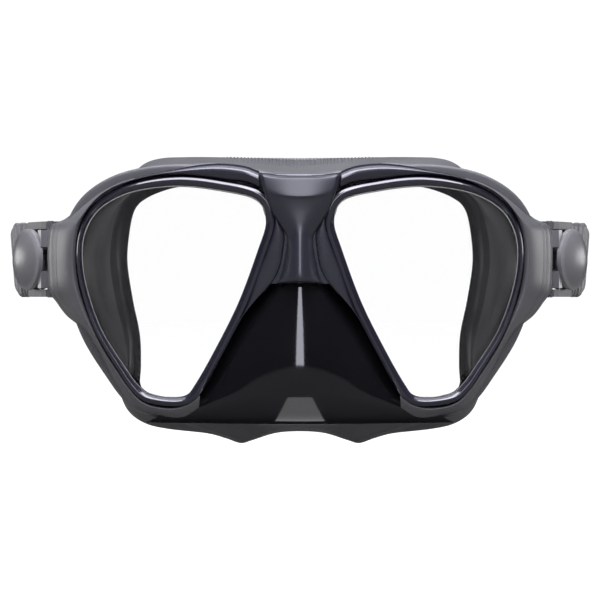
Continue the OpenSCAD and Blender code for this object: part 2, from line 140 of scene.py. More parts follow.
# a white card under the mask, which the downward faces of the silicone mirror
CARD = (-0.009, -0.080, 0.009, -0.035)         # low x and y, high x and y
card_mesh = bpy.data.meshes.new("white card")
card_z = FLOOR_Z + 0.0005
card_mesh.from_pydata([(CARD[0], CARD[1], card_z), (CARD[2], CARD[1], card_z),
                       (CARD[2], CARD[3], card_z), (CARD[0], CARD[3], card_z)],
                      [], [(0, 1, 2, 3)])
card = bpy.data.objects.new("white card", card_mesh)
card_paint = bpy.data.materials.new("card paint")
card_paint.use_nodes = True
card_shader = card_paint.node_tree.nodes["Principled BSDF"]
card_shader.inputs["Base Color"].default_value = (0.2, 0.2, 0.2, 1)
card_shader.inputs["Specular IOR Level"].default_value = 0.0
card_shader.inputs["Emission Color"].default_value = (1, 1, 1, 1)
card_shader.inputs["Emission Strength"].default_value = 0.95
card_mesh.materials.append(card_paint)
scene.collection.objects.link(card)

# ---- Lens rims ---------------------------------------------------------------------------
# Each rim is a moulded ring of glossy black plastic that clips over the frame and holds the
# glass down. Its section is a chamfer beside the glass, a crowned face and a rounded shoulder.
MM = 0.001
SWEEP = np.tan(np.radians(8))
LEAN = np.tan(np.radians(6))
BEND = 9.0
DEPTH = 60.0


def front_y(x, z):
    """Depth of the front: two planes swept back 8 degrees with a parabola 18 mm wide between
    them, all leaning 6 degrees towards the face at the foot. Millimetres."""
    x = np.abs(x)
    swept = np.where(x < BEND, x * x / (2 * BEND), x - BEND / 2)
    return -DEPTH + SWEEP * swept - LEAN * z


def closed_curve(points, count):
    """Closed Catmull-Rom curve through the rows of points, as count evenly spaced rows."""
    p = np.asarray(points, float)
    n = len(p)
    t = np.arange(count) * n / count
    i = t.astype(int)
    f = (t - i).reshape((-1,) + (1,) * (p.ndim - 1))
    a, b, c, d = p[(i - 1) % n], p[i % n], p[(i + 1) % n], p[(i + 2) % n]
    return 0.5 * (2 * b + (c - a) * f + (2 * a - 5 * b + 4 * c - d) * f**2
                  + (3 * b - a - 3 * c + d) * f**3)


def open_curve(points, count):
    """Open Catmull-Rom curve through the rows of points, as count rows from end to end."""
    p = np.asarray(points, float)
    q = np.concatenate([[2 * p[0] - p[1]], p, [2 * p[-1] - p[-2]]])
    t = np.linspace(0, len(p) - 1 - 1e-9, count)
    i = t.astype(int)
    f = (t - i).reshape((-1,) + (1,) * (p.ndim - 1))
    a, b, c, d = q[i], q[i + 1], q[i + 2], q[i + 3]
    return 0.5 * (2 * b + (c - a) * f + (2 * a - 5 * b + 4 * c - d) * f**2
                  + (3 * b - a - 3 * c + d) * f**3)


def outward(outline):
    """Unit normals of a clockwise outline in the x-z plane, from its central differences."""
    along = np.roll(outline[:, :2], -1, 0) - np.roll(outline[:, :2], 1, 0)
    along /= np.linalg.norm(along, axis=1)[:, None]
    return np.stack([-along[:, 1], along[:, 0]], 1)


def grid_faces(rows, columns, wrap_rows, wrap_columns):
    """Quads of a rows x columns grid of points; wrapped directions join their last to first."""
    i = np.arange(rows if wrap_rows else rows - 1)[:, None]
    j = np.arange(columns if wrap_columns else columns - 1)[None, :]
    i2, j2 = (i + 1) % rows, (j + 1) % columns
    quads = [i * columns + j, i2 * columns + j, i2 * columns + j2, i * columns + j2]
    return np.stack(quads, -1).reshape(-1, 4)


def enclosed(grid, quads):
    """Six times the volume inside a grid's quads: positive when they face outwards."""
    a, b, c, d = (grid.reshape(-1, 3)[quads[:, k]] - grid.mean((0, 1)) for k in range(4))
    return (a * (np.cross(b, c) + np.cross(c, d))).sum()


def build(name, grids):
    """One smooth mesh object from grids of points in millimetres. Each grid is (points, wrap
    rows, cap ends): columns always wrap, and capped ends are closed with a fan."""
    points, faces, start = [], [], 0
    for grid, wrap_rows, cap in grids:
        rows, columns = grid.shape[:2]
        points.append(grid.reshape(-1, 3))
        quads = grid_faces(rows, columns, wrap_rows, True)
        new = (quads + start).tolist()
        if cap:
            first = list(range(start, start + columns))
            last = list(range(start + (rows - 1) * columns, start + rows * columns))
            new += [first, last[::-1]]
        faces += [f[::-1] for f in new] if enclosed(grid, quads) < 0 else new
        start += rows * columns
    mesh = bpy.data.meshes.new(name)
    mesh.from_pydata((np.concatenate(points) * MM).tolist(), [], faces)
    mesh.shade_smooth()
    piece = bpy.data.objects.new(name, mesh)
    scene.collection.objects.link(piece)
    return piece


def mirrored(grid):
    """The same grid on the other side of x = 0, with its columns reversed to face outwards."""
    return (grid * (-1, 1, 1))[:, ::-1]


def ring(outline, widths, section, depth=0.0):
    """Carries a section round an outline. Its points are a share of the local width outwards
    and a depth behind the front surface."""
    step = widths[:, None] * section[None, :, 0]
    normal = outward(outline)
    x = outline[:, None, 0] + normal[:, None, 0] * step
    z = outline[:, None, 1] + normal[:, None, 1] * step
    return np.stack([x, front_y(x, z) + section[None, :, 1] + depth, z], -1)


# x, z and rim width; the opening is 57 mm wide and 64 mm high
OPENING = [(10.5, 24.2, 3.0), (13.3, 30.6, 3.2), (24, 33.5, 3.2), (38, 35, 3.2),
           (52, 33.2, 2.8), (61.5, 28.4, 2.3), (66.2, 21.5, 2.0), (67.4, 13.5, 2.0),
           (66, 3.5, 2.0), (61.5, -9.3, 2.2), (53.9, -21.4, 2.6), (50.3, -26.2, 2.9),
           (46.8, -29.0, 3.0), (40, -30.1, 3.0), (35.3, -29.4, 3.0), (32.6, -26.3, 3.2),
           (27.1, -16.8, 3.0), (19.2, -1.2, 3.0), (13.1, 15, 3.0)]
RIM_SECTION = [(0.20, 3.4), (0.06, 2.5), (0.0, 1.8), (0.06, 1.15), (0.18, 0.72), (0.40, 0.18),
               (0.52, 0.02), (0.64, 0.1), (0.90, 0.62), (0.97, 1.2), (1.0, 2.0), (0.98, 3.4)]
opening = closed_curve(OPENING, 340)
rim_section = closed_curve(RIM_SECTION, 48)
rim_grid = ring(opening, opening[:, 2], rim_section)


def moulding_group():
    """Surface of a moulded part: soft clouding of the colour, a fine grain, paler worn edges
    and roughness that drifts. Everything it gives out changes over the surface."""
    group = bpy.data.node_groups.new("moulded surface", "ShaderNodeTree")
    for label in ("Color", "Worn Color"):
        group.interface.new_socket(label, in_out="INPUT", socket_type="NodeSocketColor")
    for label, value in (("Grain Size", 900.0), ("Clouding", 0.3), ("Roughness", 0.3),
                         ("Drift", 0.1), ("Wear", 0.3)):
        socket = group.interface.new_socket(label, in_out="INPUT", socket_type="NodeSocketFloat")
        socket.default_value = value
    for label, kind in (("Color", "NodeSocketColor"), ("Roughness", "NodeSocketFloat"),
                        ("Height", "NodeSocketFloat")):
        group.interface.new_socket(label, in_out="OUTPUT", socket_type=kind)
    new, link = group.nodes.new, group.links.new
    given, given_out = new("NodeGroupInput"), new("NodeGroupOutput")
    place = new("ShaderNodeTexCoord")
    cloud, grain = new("ShaderNodeTexNoise"), new("ShaderNodeTexNoise")
    cloud.inputs["Scale"].default_value, cloud.inputs["Detail"].default_value = 60, 3
    grain.inputs["Detail"].default_value = 4
    link(place.outputs["Object"], cloud.inputs["Vector"])
    link(place.outputs["Object"], grain.inputs["Vector"])
    link(given.outputs["Grain Size"], grain.inputs["Scale"])
    edges = new("ShaderNodeNewGeometry")
    edge = new("ShaderNodeMapRange")
    edge.inputs["From Min"].default_value, edge.inputs["From Max"].default_value = 0.52, 0.62
    link(edges.outputs["Pointiness"], edge.inputs["Value"])
    worn = new("ShaderNodeMath"); worn.operation = "MULTIPLY"
    link(edge.outputs["Result"], worn.inputs[0])
    link(given.outputs["Wear"], worn.inputs[1])
    shade = new("ShaderNodeMath"); shade.operation = "MULTIPLY_ADD"
    link(cloud.outputs["Fac"], shade.inputs[0])
    link(given.outputs["Clouding"], shade.inputs[1])
    link(worn.outputs["Value"], shade.inputs[2])
    mix = new("ShaderNodeMix"); mix.data_type = "RGBA"
    link(shade.outputs["Value"], mix.inputs["Factor"])
    link(given.outputs["Color"], mix.inputs["A"])
    link(given.outputs["Worn Color"], mix.inputs["B"])
    drift = new("ShaderNodeMath"); drift.operation = "SUBTRACT"; drift.inputs[1].default_value = 0.5
    link(cloud.outputs["Fac"], drift.inputs[0])
    rough = new("ShaderNodeMath"); rough.operation = "MULTIPLY_ADD"; rough.use_clamp = True
    link(drift.outputs["Value"], rough.inputs[0])
    link(given.outputs["Drift"], rough.inputs[1])
    link(given.outputs["Roughness"], rough.inputs[2])
    link(mix.outputs["Result"], given_out.inputs["Color"])
    link(rough.outputs["Value"], given_out.inputs["Roughness"])
    link(grain.outputs["Fac"], given_out.inputs["Height"])
    return group


moulding = moulding_group()


def moulded(name, color, worn, roughness, drift=0.1, clouding=0.25, wear=0.2, grain=1200.0,
            bump=0.1, coat=0.0, coat_roughness=0.03, metallic=0.0, specular=0.5):
    """A material for a moulded or drawn part: the moulded surface group under one shader."""
    paint = bpy.data.materials.new(name)
    paint.use_nodes = True
    nodes, link = paint.node_tree.nodes, paint.node_tree.links.new
    shader = nodes["Principled BSDF"]
    surface = nodes.new("ShaderNodeGroup")
    surface.node_tree = moulding
    for label, value in (("Color", (*color, 1)), ("Worn Color", (*worn, 1)), ("Grain Size", grain),
                         ("Clouding", clouding), ("Roughness", roughness), ("Drift", drift),
                         ("Wear", wear)):
        surface.inputs[label].default_value = value
    relief = nodes.new("ShaderNodeBump")
    relief.inputs["Strength"].default_value = bump
    relief.inputs["Distance"].default_value = 0.0001
    link(surface.outputs["Color"], shader.inputs["Base Color"])
    link(surface.outputs["Roughness"], shader.inputs["Roughness"])
    link(surface.outputs["Height"], relief.inputs["Height"])
    link(relief.outputs["Normal"], shader.inputs["Normal"])
    shader.inputs["Coat Weight"].default_value = coat
    shader.inputs["Coat Roughness"].default_value = coat_roughness
    shader.inputs["Metallic"].default_value = metallic
    shader.inputs["Specular IOR Level"].default_value = specular
    return paint


def finish_piece(piece, paint, body, slot, *nodes):
    """Gives a finished piece its material and body, and hides the CAD nodes it stands for. The
    record slot is not used.
    """
    piece.data.materials.append(paint)
    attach(piece, body)
    if nodes:
        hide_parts(*nodes)


rim_paint = moulded("glossy black rim", (0.005, 0.005, 0.009), (0.03, 0.03, 0.045), 0.22,
                    drift=0.12, clouding=0.2, wear=0.12, bump=0.06, coat=0.8)
for name, grid in (("right_bezel", rim_grid), ("left_bezel", mirrored(rim_grid))):
    finish_piece(build(name + "_moulding", [(grid, True, False)]), rim_paint, "mask",
                 "rim_plastic", name)

# ---- Main frame --------------------------------------------------------------------------
# One black moulding: a ring behind each rim, a crowned brow band over the lenses and two flat
# webs that run down beside the nose. The glass, the skirt and the rims all seat on it.
BACK = 9.3


def slab(front, back_depth):
    """A closed solid between a sheet of points and the same sheet set back from the front."""
    back = front.copy()
    back[..., 1] = np.maximum(front_y(front[..., 0], front[..., 2]) + back_depth,
                              front[..., 1] + 0.4)
    return np.concatenate([front, back[:, ::-1]], 1)


def between(inner, outer, profile, depths):
    """A sheet from one outline to another. The profile gives shares of the way across and
    depths behind the front; depths scales them along the outline."""
    share = profile[None, :, 0, None]
    flat = inner[:, None, :] * (1 - share) + outer[:, None, :] * share
    depth = profile[None, :, 1] * depths[:, None]
    x, z = flat[..., 0], flat[..., 1]
    return np.stack([x, front_y(x, z) + depth, z], -1)


BROW_INNER = [(12.3, 34.4), (17, 36.2), (24, 37.1), (31, 38), (38, 38.5), (45, 38.1),
              (52, 36.5), (57, 34.7), (61.5, 32), (65.3, 28.2), (67.6, 24.4)]
BROW_OUTER = [(12.6, 39.6), (17, 41.2), (24, 42.0), (31, 41.6), (38, 40.4), (45, 38.9),
              (52, 37.1), (57, 35.3), (61.6, 32.6), (65.6, 28.6), (68.0, 24.5)]
BROW_PROFILE = [(0.0, 1.5), (0.04, 0.7), (0.12, 0.15), (0.3, -0.35), (0.5, -0.4), (0.72, 0.1),
                (0.88, 1.1), (0.97, 2.4), (1.0, 4.0)]
brow = between(open_curve(BROW_INNER, 120), open_curve(BROW_OUTER, 120),
               open_curve(BROW_PROFILE, 40), np.linspace(1, 0.6, 120))

WEB_INNER = [(10.9, 34.4), (8.2, 29), (7.5, 25), (8.3, 20.5), (9.9, 15.8), (12.4, 9.6),
             (15.9, -0.8), (19.6, -8.4), (23.5, -15.7), (26.3, -20.7), (29.9, -27.6)]
WEB_OUTER = [(10.7, 34.3), (8.0, 28.6), (6.6, 24.2), (4.4, 20.6), (4.5, 15.8), (5.6, 9.5),
             (9.0, 4.6), (15.7, -1.6), (21.0, -9.6), (25.2, -17.4), (29.4, -27)]
WEB_PROFILE = [(0.0, 0.5), (0.05, 0.18), (0.2, 0.05), (0.55, 0.15), (0.8, 0.5), (0.93, 1.2),
               (0.99, 2.6), (1.0, 4.5)]
web = between(open_curve(WEB_INNER, 140), open_curve(WEB_OUTER, 140),
              open_curve(WEB_PROFILE, 32), np.ones(140))

# The floor of the frame between the webs, which the bridge cover clips on to
SADDLE_HALF = [(13.2, 38.6), (11.0, 33), (9, 27), (7, 23), (6, 18), (7, 11), (9, 6), (11, 5)]
half = open_curve(SADDLE_HALF, 60)
across = np.linspace(-1, 1, 25)
saddle_x = half[:, None, 0] * across[None, :]
saddle_z = np.broadcast_to(half[:, None, 1], saddle_x.shape)
saddle = np.stack([saddle_x, front_y(saddle_x, saddle_z) + 0.9, saddle_z], -1)

CARRIER_SECTION = [(0.32, 3.7), (0.5, 3.7), (0.9, 3.9), (0.97, 5), (0.97, 8.5), (0.9, BACK),
                   (0.32, BACK), (0.32, 6.5)]
carrier = ring(opening, opening[:, 2], closed_curve(CARRIER_SECTION, 32))
frame_paint = moulded("glossy black frame", (0.005, 0.005, 0.009), (0.03, 0.03, 0.045), 0.25,
                      drift=0.14, clouding=0.22, wear=0.10, bump=0.08, coat=0.55)
solids = [(slab(brow, BACK), False, True), (slab(web, BACK), False, True)]
solids += [(mirrored(grid), wrap, cap) for grid, wrap, cap in solids]
solids += [(slab(saddle, BACK), False, True), (carrier, True, False),
           (mirrored(carrier), True, False)]
finish_piece(build("main_frame_moulding", solids), frame_paint, "mask", "frame_plastic",
             "main_frame")

# ---- Bridge cover ------------------------------------------------------------------------
# An hourglass moulding clipped over the bridge: a tilted lip along the top, a flat upper body
# and a rounded waist that stands out like the ridge of a nose.
# Rows from the top: height, half-width, depth in the middle, depth at the side, crown power
COVER_ROWS = [(39.0, 12.2, 1.2, 1.6, 2.0), (38.7, 12.3, 0.1, 0.7, 2.0),
              (37.8, 12.4, -0.5, 0.1, 2.2), (35.0, 12.0, -1.3, -0.3, 2.4),
              (32.2, 11.2, -2.0, -0.6, 2.4), (31.4, 10.9, -2.05, -0.6, 2.4),
              (30.6, 10.6, -1.85, -0.5, 2.4), (28, 9.3, -1.75, -0.3, 2.4),
              (25, 7.6, -1.8, 0.0, 2.2),
              (22, 5.6, -1.95, 0.3, 2.0), (19.6, 4.25, -2.3, 0.4, 2.0), (17, 4.15, -2.9, 0.4, 2.0),
              (13, 4.8, -3.8, 0.4, 2.0), (9, 5.6, -4.5, 0.3, 2.0), (6.6, 6.3, -4.6, 0.2, 2.0),
              (5.6, 7.0, -3.9, 0.5, 2.0), (5.1, 7.4, -2.2, 1.0, 2.0), (5.0, 7.5, 0.2, 1.6, 2.0)]
rows = open_curve(COVER_ROWS, 150)
s = np.linspace(-1, 1, 61)[None, :]
shape = np.abs(s) ** rows[:, 4:5]
cover_x = rows[:, 1:2] * s
lip_sag = 1.6 * np.abs(s) ** 2 * np.exp(-((rows[:, 0:1] - 31.8) / 2.2) ** 2)
cover_z = rows[:, 0:1] + lip_sag - 1.2 * (1 - s**2) * np.exp(-((rows[:, 0:1] - 38.6) / 0.9) ** 2)
edge = 1.3 * np.clip((np.abs(s) - 0.9) / 0.1, 0, 1) ** 2
cover_y = front_y(cover_x * 0, cover_z) + rows[:, 2:3] * (1 - shape) + rows[:, 3:4] * shape + edge
cover = np.stack([cover_x, cover_y, cover_z], -1)
cover_back = cover.copy()
cover_back[..., 1] = np.maximum(cover_y + 0.8, front_y(0, cover_z) + 0.8)
cover_paint = moulded("satin black bridge", (0.006, 0.006, 0.010), (0.03, 0.03, 0.04), 0.32,
                      drift=0.10, clouding=0.25, wear=0.12, bump=0.10, coat=0.18,
                      coat_roughness=0.2)
finish_piece(build("bridge_cover_moulding",
                   [(np.concatenate([cover, cover_back[:, ::-1]], 1), False, True)]),
             cover_paint, "mask", "cover_plastic", "bridge_cover")

# ---- Tempered glass ----------------------------------------------------------------------
# Two flat panes of clear tempered glass, the CAD's own solids, with a faint cool tint that
# clouds softly over the surface.
glass = bpy.data.materials.new("tempered glass")
glass.use_nodes = True
glass_shader = glass.node_tree.nodes["Principled BSDF"]
glass_shader.inputs["Transmission Weight"].default_value = 1.0
glass_shader.inputs["IOR"].default_value = 1.5
glass_shader.inputs["Metallic"].default_value = 0.0
glass_shader.inputs["Roughness"].default_value = 0.0
haze = glass.node_tree.nodes.new("ShaderNodeGroup")
haze.node_tree = moulding
for label, value in (("Color", (1, 1, 1, 1)), ("Worn Color", (0.97, 0.985, 0.98, 1)),
                     ("Clouding", 0.5), ("Wear", 0.0), ("Roughness", 0.0), ("Drift", 0.0)):
    haze.inputs[label].default_value = value
glass.node_tree.links.new(haze.outputs["Color"], glass_shader.inputs["Base Color"])
for name in ("left_lens", "right_lens"):
    bpy.data.objects[name].material_slots[0].material = glass

# ---- Silicone skirt ----------------------------------------------------------------------
# One soft moulding of dark silicone: a tube from the frame back to the face with a lip that
# rolls inwards, a nose pocket in front, a cuff round each pane and an ear at each side.
FRONT_LOOP = [(0, 38.0), (13, 40.0), (26, 42.3), (33, 41.9), (38, 41.0), (43, 39.6), (48, 37.9),
              (53, 35.6), (61, 30), (66.5, 23.5), (68.8, 13), (67.5, 1), (64.0, -10),
              (59.8, -19), (57.0, -26), (52.5, -32.0), (47.5, -34.9), (42, -36.2), (30, -37.3),
              (16, -38.2), (0, -38)]
MIDDLE_LOOP = [(0, 44.5), (13, 45.0), (28, 45.5), (38, 45.5), (43.5, 45.3), (48.3, 44.2),
               (52, 41.8), (54.6, 38.6), (60, 32), (64.5, 23), (66, 12), (64, -1), (60.5, -12),
               (58.2, -21), (57.8, -28), (55.6, -34.6), (50.5, -38.8), (43, -40.8), (30, -42.2),
               (24, -43.2), (19, -44.4), (15, -43.6), (8, -41.3), (0, -40.4)]
SEAL_LOOP = [(0, 43.5), (13, 44.5), (28, 44.6), (36, 44.2), (42.5, 43.3), (48.3, 41.6),
             (53.2, 39.4), (57.6, 36.2), (60.8, 31), (62.6, 22.5), (63.2, 12), (61.3, -1),
             (59.0, -12),
             (58.6, -21), (58.6, -28.5), (55, -35.8), (49.4, -39.8), (42, -41.8), (30, -43.4),
             (24, -45.0), (19.2, -46.5), (15.5, -45.6), (8, -43.3), (0, -42.7)]
HALF_WIDTH = 67.4
TEMPLE_WRAP = 10
LIP_SET = 8


def both_halves(half):
    """A half outline from the top middle to the bottom middle, closed by its mirror image."""
    return np.array(list(half) + [(-x, z) for x, z in half[-2:0:-1]], float)


def seal_y(x, z):
    """Depth of the face: back with the square of x towards the temples, and forward with the
    square of the depth below the middle towards the upper lip."""
    return TEMPLE_WRAP * (x / HALF_WIDTH) ** 2 - LIP_SET * (np.maximum(0, -z) / 42) ** 2


def inset(loop, distance):
    """A closed outline of x and z moved inwards by a distance."""
    return loop - outward(loop) * distance


LOOP_STEPS, SECTION_STEPS = 420, 84
LIP_SHADE_COLUMNS = slice(42, 62)           # from the lip's edge to the root of the wall, seen inside, where the shade is painted
front_loop, middle_loop, seal_loop = (closed_curve(both_halves(half), LOOP_STEPS)
                                      for half in (FRONT_LOOP, MIDDLE_LOOP, SEAL_LOOP))
near_y = front_y(front_loop[:, 0], front_loop[:, 1]) + BACK + 0.1
far_y = seal_y(seal_loop[:, 0], seal_loop[:, 1])


def skirt_loop(loop, distance, share, offset):
    """An outline moved inwards, a share of the way from the frame to the face, plus an offset."""
    moved = inset(loop, distance)
    return np.stack([moved[:, 0], near_y * (1 - share) + far_y * share + offset, moved[:, 1]], -1)


quarter = front_loop * 0.45 + middle_loop * 0.55
tube_section = np.stack([
    skirt_loop(front_loop, 0.0, 0.0, 0.0), skirt_loop(quarter, 0.0, 0.22, 0),
    skirt_loop(middle_loop, 0.0, 0.48, 0),
    skirt_loop(middle_loop * 0.4 + seal_loop * 0.6, 0, 0.76, 0),
    skirt_loop(seal_loop, 0.2, 0.95, 0), skirt_loop(seal_loop, 0.9, 1.0, -0.1),
    skirt_loop(seal_loop, 3.4, 1.0, 0.3), skirt_loop(seal_loop, 6.2, 1.0, -1.0),
    skirt_loop(seal_loop, 6.4, 1.0, -1.9), skirt_loop(seal_loop, 4.2, 0.97, -1.6),
    skirt_loop(seal_loop, 2.6, 0.86, 0), skirt_loop(middle_loop, 2.2, 0.6, 0),
    skirt_loop(quarter, 2.1, 0.3, 0), skirt_loop(front_loop, 2.0, 0.06, 0)])
tube = closed_curve(tube_section, SECTION_STEPS).transpose(1, 0, 2)

# Front wall and nose pocket: height and depth in the middle, half-width, height and depth at
# the side, and how narrow the swell of the nose is
POCKET_ROWS = [(37, -50, 14, 37, -49, 1), (20, -50, 9, 20, -49, 1), (9, -56, 8.0, 8.6, -52, 1),
               (5.2, -61.0, 9.5, 4.0, -54.0, 1), (2.2, -62.1, 12.8, 1.0, -52.0, 1),
               (-3, -63.2, 17.0, -3.2, -50.6, 1), (-10, -64.5, 22.0, -10.5, -49.5, 1),
               (-18, -65.3, 26.8, -19, -48.3, 1.02), (-24.5, -65.0, 31.0, -26.5, -47.5, 1.1),
               (-29.5, -63.4, 36.5, -32.5, -46.8, 1.3), (-33.6, -60.6, 42.5, -35.6, -45.8, 1.7),
               (-36.4, -57.2, 46.0, -37.2, -44.4, 2.1), (-38.0, -53.4, 47.5, -38.0, -43.0, 2.4),
               (-38.7, -49.5, 48.0, -38.4, -41.5, 2.5), (-38.4, -45.5, 48.0, -38.0, -40.0, 2.5)]
pocket_rows = open_curve(POCKET_ROWS, 200)
middle_z, middle_y, reach, side_z, side_y, narrow = pocket_rows.T[:, :, None]
s = np.linspace(-1, 1, 161)[None, :]
pocket_x = reach * s
pocket_y = side_y + (middle_y - side_y) * (1 - s**2) ** narrow
pocket_z = middle_z + (side_z - middle_z) * s**2
pocket = np.stack([pocket_x, pocket_y, pocket_z], -1)
pocket_back = pocket + np.array([0, 1.8, 0])
pocket_grid = np.concatenate([pocket, pocket_back[:, ::-1]], 1)

# Cuff round each pane, behind the glass
CUFF_SECTION = [(0.6, 7.4), (6.5, 7.4), (6.9, 9.0), (6.6, 11.2), (3, 11.6), (0.9, 11.4),
                (0.5, 10.5), (0.4, 8.5)]
cuff = ring(opening, np.ones(len(opening)), closed_curve(CUFF_SECTION, 36))

# Wing: the collar that stands round the outside of the rim and, beside the eye, the ear.
# Inner x and z, outer x and z, depth of the outer edge and thickness there
WING_ROWS = [(50.5, 37.1, 51.8, 38.0, -46.0, 2.0), (55.0, 35.3, 57.2, 36.4, -44.5, 3.0),
             (60.2, 32.4, 63.0, 33.4, -43.2, 3.2), (64.6, 28.7, 68.2, 29.6, -41.5, 3.4),
             (67.2, 25.3, 73.8, 25.6, -38.0, 3.0), (68.8, 21.6, 78.6, 23.2, -35.2, 2.0),
             (69.6, 16, 79.6, 17.5, -34.6, 2.0), (69.5, 10, 79.6, 10, -34.6, 2.0),
             (68.9, 5, 79.1, 3.0, -34.7, 2.0), (67.8, 0.6, 76.6, -1.0, -35.4, 2.4),
             (66.0, -4.4, 73.4, -5.0, -37.0, 3.4), (63.8, -9.6, 68.2, -9.2, -39.2, 3.6),
             (60.8, -15.6, 63.8, -15.2, -41.0, 3.8), (56.6, -22, 60.3, -21.8, -41.6, 3.8),
             (52.5, -27.8, 56.6, -28.0, -41.6, 3.8), (47.9, -32.0, 51.8, -34.0, -41.0, 3.8),
             (41, -33.4, 44.0, -36.8, -41.0, 3.6), (35.5, -32.4, 37.5, -37.9, -41.6, 3.2),
             (31, -29.0, 31.6, -37.6, -42.5, 2.0)]
wing_rows = open_curve(WING_ROWS, 260)
inner_x, inner_z, outer_x, outer_z, outer_y, outer_thick = wing_rows.T[:, :, None]
u = np.linspace(0, 1, 60)[None, :]
wing_x = inner_x + (outer_x - inner_x) * u
wing_z = inner_z + (outer_z - inner_z) * u
WING_SET = 1.1                        # the inner edge's depth behind the front
inner_y = front_y(inner_x, inner_z) + WING_SET
bend = 0.25 * u + 0.75 * u**2.2
crown = np.sin(np.pi * np.clip(u / 0.16, 0, 1) / 2)
wing_y = inner_y + (outer_y - inner_y) * bend - 0.7 * crown + 0.7 * (1 - crown)
long_ear = np.clip((outer_x - inner_x - 6) / 3, 0, 1)
for place, width, height in ((0.66, 0.018, 0.35), (0.74, 0.018, 0.35), (0.9, 0.03, 0.55)):
    wing_y = wing_y - long_ear * height * np.exp(-((u - place) / width) ** 2)
inner_thick = BACK + 0.4 - WING_SET
wing_back = wing_y + inner_thick + (outer_thick - inner_thick) * np.clip(u * 1.4, 0, 1)
round_off = 1.2 * np.clip((u - 0.93) / 0.07, 0, 1) ** 2
wing = np.stack([wing_x, wing_y + round_off, wing_z], -1)
wing_rear = np.stack([wing_x, wing_back - round_off, wing_z], -1)
wing_grid = np.concatenate([wing, wing_rear[:, ::-1]], 1)

# Grip: a strip of fine upright ribs along the top of the forehead
GRIP_REACH = 27.5
grip_x = np.linspace(-GRIP_REACH, GRIP_REACH, 900)
top = np.flatnonzero(tube[:, 0, 2] > 30)                  # the part of the tube over the brow
top = top[np.argsort(tube[top, 0, 0])]
strip = np.stack([np.stack([grip_x, *(np.interp(grip_x, tube[top, c, 0], tube[top, c, k])
                                      for k in (1, 2))], -1) for c in range(5, 20)], 1)
share = np.linspace(0, 1, strip.shape[1])[None, :]
RIB_PITCH = 1.1
rib = 0.5 + 0.5 * np.cos(2 * np.pi * grip_x / RIB_PITCH)
fade = np.minimum(1, 5 * (1 - np.abs(grip_x) / GRIP_REACH))[:, None] * np.sin(np.pi * share) ** 0.4
strip[..., 2] += 0.45 * rib[:, None] * fade - 0.15
strip_back = strip - np.array([0, 0, 0.8])
grip_grid = np.concatenate([strip, strip_back[:, ::-1]], 1)

silicone = moulded("dark silicone", (0.034, 0.034, 0.037), (0.080, 0.080, 0.085), 0.42,
                   drift=0.15, clouding=0.35, wear=0.25, bump=0.12, grain=1500)
pocket_silicone = moulded("polished silicone", (0.002, 0.002, 0.0025), (0.010, 0.010, 0.012),
                          0.09, drift=0.06, clouding=0.2, wear=0.1, bump=0.04, grain=900)
# Painted shade: the rolled lip's silicone is a near-black copy of the dark silicone that reflects
# little. It stands in for the shade on the lip seen through the glass.
lip_shade_silicone = moulded("lip silicone with painted shade", (0.002, 0.002, 0.003), (0.010, 0.010, 0.012),
                        0.3, drift=0.06, clouding=0.2, wear=0.1, bump=0.04, grain=900,
                        specular=0.08)
tube_piece = build("skirt_tube", [(tube, True, False), (cuff, True, False),
                                  (mirrored(cuff), True, False), (grip_grid, False, True)])
finish_piece(tube_piece, silicone, "mask", "skirt_silicone", "skirt")
tube_piece.data.materials.append(lip_shade_silicone)
lip = np.zeros((LOOP_STEPS, SECTION_STEPS), int)
lip[:, LIP_SHADE_COLUMNS] = 1               # the rolled lip gets painted shade: near black, smooth and barely reflective; the walls are matt
marks = np.zeros(len(tube_piece.data.polygons), int)
marks[:lip.size] = lip.ravel()
tube_piece.data.polygons.foreach_set("material_index", marks)
finish_piece(build("skirt_nose_pocket", [(pocket_grid, False, True)]), pocket_silicone, "mask",
             "skirt_silicone", "skirt")
finish_piece(build("skirt_ears", [(wing_grid, False, True), (mirrored(wing_grid), False, True)]),
             silicone, "mask", "skirt_silicone", "skirt")

# ---- Buckles -----------------------------------------------------------------------------
# Hard parts of the two side buckles, the CAD's own solids: satin release buttons, moulded
# cheeks, steel pins and springs darkened as painted shade for the gap between button and ear,
# and the grey rollers that the strap runs round.
button_paint = moulded("satin button", (0.045, 0.045, 0.048), (0.12, 0.12, 0.125), 0.36,
                       drift=0.12, clouding=0.3, wear=0.3, bump=0.08, grain=1600, coat=0.25,
                       coat_roughness=0.25)
cheek_paint = moulded("moulded buckle", (0.008, 0.008, 0.009), (0.04, 0.04, 0.045), 0.45,
                      drift=0.12, clouding=0.3, wear=0.3, bump=0.10, grain=1400)
# Painted shade: the steel's colour is set far below bright steel so that the pins read dark in the
# gap between the button and the ear.
steel = moulded("steel pin with painted shade", (0.20, 0.20, 0.205), (0.32, 0.32, 0.32), 0.30, drift=0.15,
                clouding=0.4, wear=0.3, bump=0.05, grain=3000, metallic=1.0)
roller_paint = moulded("acetal roller", (0.045, 0.045, 0.048), (0.12, 0.12, 0.12), 0.45,
                       drift=0.1, clouding=0.3, wear=0.3, bump=0.08)
for side in ("left_", "right_"):
    for part, paint in (("release_button", button_paint), ("buckle_frame", cheek_paint),
                        ("ear_insert", cheek_paint), ("swivel_pin", steel),
                        ("roller_pin", steel), ("button_pin", steel), ("button_spring", steel),
                        ("roller", roller_paint)):
        bpy.data.objects[side + part].material_slots[0].material = paint

# ---- Head strap --------------------------------------------------------------------------
# One moulded silicone band. It divides into a padded split strap behind the head, narrows
# towards the buckles, passes round each roller and ends in a short ribbed pull tab.
ROLLER = np.array([79.9, -17.5, 13.0])
TOE = np.radians(30)
WRAP_R = 4.45
LOOP_BACK, LOOP_RISE = 112, 47
STRAP_W, PAD_W, STRAP_T = 18, 30, 2.2
TAB_W = 5
SLOT_HALF, SLOT_REACH = 4, 56
